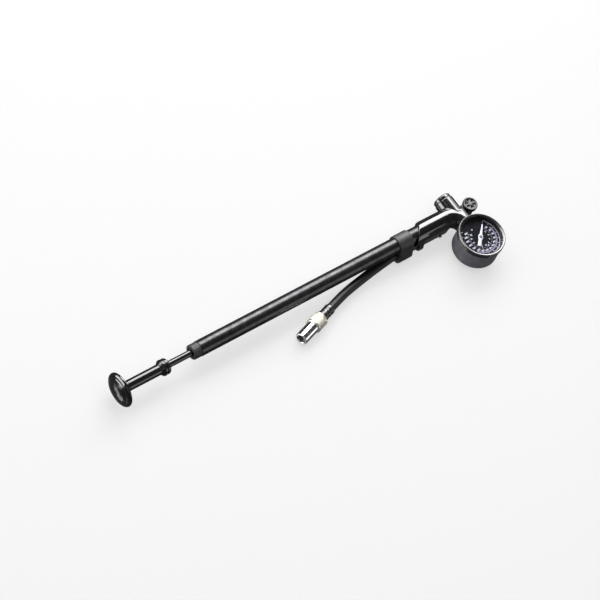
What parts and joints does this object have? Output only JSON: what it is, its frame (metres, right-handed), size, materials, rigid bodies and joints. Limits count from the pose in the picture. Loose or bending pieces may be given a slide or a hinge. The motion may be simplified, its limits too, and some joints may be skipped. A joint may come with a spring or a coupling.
{
  "type": "shock suspension pump",
  "caption": "Slim high-pressure hand pump with a round knob handle, side dial gauge, bleed button and a hose ending in a threaded valve coupler.",
  "frame": {"origin": "on the barrel's axis, at the handle-side end of the barrel tube, which is where the plain round seat for a bracket starts", "axes": "+X along the barrel from the handle to the head, +Z along the gauge's dial normal, +Y away from the gauge; the hose lies under the barrel on its -Z side"},
  "size_m": [0.3915, 0.072, 0.0329],
  "materials": {
    "barrel_anodised": "satin black anodised tube",
    "cap_grey": "matte dark grey moulding",
    "bearing_plastic": "low-friction plastic",
    "seal_rubber": "matte black seal rubber",
    "head_black": "gloss black enamel on a metal casting",
    "brass": "machined brass",
    "spring_steel": "bright spring steel",
    "black_screw": "black oxide steel",
    "hose_rubber": "matte black hose",
    "case_paint": "satin dark grey enamel",
    "bezel_black": "gloss black enamel",
    "clear_lens": "clear window",
    "dial_face": "matte black dial with a white printed scale",
    "tube_bronze": "phosphor bronze",
    "rod_black": "polished black",
    "piston_aluminium": "turned",
    "knob_gloss": "gloss black",
    "clip_plastic": "matte dark grey moulding",
    "button_black": "black button with a knurled recess",
    "pointer_white": "white enamel",
    "ferrule_black": "black crimped sleeve",
    "chrome_plate": "bright plated, knurled grip"
  },
  "bodies": {
    "pump_body": {"barrel_tube": "barrel_anodised", "barrel_end_cap": "cap_grey", "rod_bushing": "bearing_plastic", "rod_wiper": "seal_rubber", "head_collar": "head_black", "head_body": "head_black", "barrel_oring": "seal_rubber", "valve_seat": "brass", "check_spring": "spring_steel", "side_plug": "head_black", "side_plug_oring": "seal_rubber", "hose_fitting": "brass", "hose_lock_screw": "black_screw", "hose_root": "hose_rubber", "bleed_bush": "brass", "bleed_spring": "spring_steel", "gauge_case": "case_paint", "gauge_bezel": "bezel_black", "gauge_lens": "clear_lens", "lens_gasket": "seal_rubber", "gauge_dial": "dial_face", "gauge_socket": "brass", "bourdon_tube": "tube_bronze", "movement_plates": "brass", "plate_posts": "brass", "dial_feet": "brass"},
    "piston_ring": {"piston_oring": "seal_rubber"},
    "plunger": {"pump_rod": "rod_black", "piston_head": "piston_aluminium", "piston_nut": "spring_steel", "handle_ferrule": "rod_black", "handle_stem": "rod_black", "handle_knob": "knob_gloss"},
    "clip": {"hose_clip": "clip_plastic"},
    "check_valve": {"check_poppet": "bearing_plastic"},
    "bleed_valve": {"bleed_button": "button_black", "bleed_seal": "seal_rubber", "bleed_clip": "spring_steel"},
    "pointer_assembly": {"pointer": "pointer_white", "pointer_pinion": "brass", "hairspring": "tube_bronze"},
    "sector": {"sector_gear": "brass", "sector_shaft": "spring_steel"},
    "link": {"tip_link": "brass"},
    "hose_1": {"hose_segment_1": "hose_rubber"},
    "hose_2": {"hose_segment_2": "hose_rubber"},
    "hose_3": {"hose_segment_3": "hose_rubber"},
    "hose_4": {"hose_segment_4": "hose_rubber"},
    "hose_5": {"hose_segment_5": "hose_rubber", "crimp_ferrule": "ferrule_black", "tail_barb": "brass"},
    "coupler": {"valve_coupler": "chrome_plate", "coupler_seal": "seal_rubber", "valve_pin": "brass"}
  },
  "joints": [
    {"name": "pump_stroke", "type": "slide", "parent": "pump_body", "child": "piston_ring", "axis": [-1, 0, 0], "range_m": [-0.0215, 0.225]},
    {"name": "handle_spin", "type": "hinge", "parent": "piston_ring", "child": "plunger", "pos_m": [0, 0, 0], "axis": [1, 0, 0], "continuous": true},
    {"name": "clip_slide", "type": "slide", "parent": "pump_body", "child": "clip", "axis": [1, 0, 0], "range_m": [-0.004, 0.002]},
    {"name": "check_valve_lift", "type": "slide", "parent": "pump_body", "child": "check_valve", "axis": [1, 0, 0], "range_m": [0, 0.001], "deforming": ["check_spring"]},
    {"name": "bleed_press", "type": "slide", "parent": "pump_body", "child": "bleed_valve", "axis": [0, 0, -1], "range_m": [0, 0.0015], "deforming": ["bleed_spring"]},
    {"name": "sector_swing", "type": "hinge", "parent": "pump_body", "child": "sector", "pos_m": [0.2835, -0.02, 0.0015], "axis": [0, 0, 1], "range_deg": [0, 54]},
    {"name": "pointer_spin", "type": "hinge", "parent": "pump_body", "child": "pointer_assembly", "pos_m": [0.2835, -0.032, 0.0015], "axis": [0, 0, 1], "range_deg": [-270, 0], "deforming": ["hairspring"]},
    {"name": "link_swing", "type": "hinge", "parent": "sector", "child": "link", "pos_m": [0.27904, -0.01773, 0.0025], "axis": [0, 0, 1], "range_deg": [-54, 0]},
    {"name": "hose_bend_1", "type": "hinge", "parent": "pump_body", "child": "hose_1", "pos_m": [0.208, -0.00475, -0.01025], "axis": [0, 0, 1], "range_deg": [0, 15]},
    {"name": "hose_bend_2", "type": "hinge", "parent": "hose_1", "child": "hose_2", "pos_m": [0.1935, -0.0064, -0.01025], "axis": [0, 0, 1], "range_deg": [0, 15]},
    {"name": "hose_bend_3", "type": "hinge", "parent": "hose_2", "child": "hose_3", "pos_m": [0.179, -0.0085, -0.01025], "axis": [0, 0, 1], "range_deg": [0, 15]},
    {"name": "hose_bend_4", "type": "hinge", "parent": "hose_3", "child": "hose_4", "pos_m": [0.164, -0.01095, -0.01025], "axis": [0, 0, 1], "range_deg": [0, 15]},
    {"name": "hose_bend_5", "type": "hinge", "parent": "hose_4", "child": "hose_5", "pos_m": [0.1495, -0.01359, -0.01025], "axis": [0, 0, 1], "range_deg": [0, 15]},
    {"name": "coupler_spin", "type": "hinge", "parent": "hose_5", "child": "coupler", "pos_m": [0.0904, -0.0311, -0.01025], "axis": [0.9588, 0.284, 0], "continuous": true}
  ],
  "couplings": [
    {"joint": "hose_bend_2", "follows": "hose_bend_1", "ratio": 1},
    {"joint": "hose_bend_3", "follows": "hose_bend_1", "ratio": 1},
    {"joint": "hose_bend_4", "follows": "hose_bend_1", "ratio": 1},
    {"joint": "hose_bend_5", "follows": "hose_bend_1", "ratio": 1},
    {"joint": "pointer_spin", "follows": "sector_swing", "ratio": -5},
    {"joint": "link_swing", "follows": "sector_swing", "ratio": -1}
  ]
}
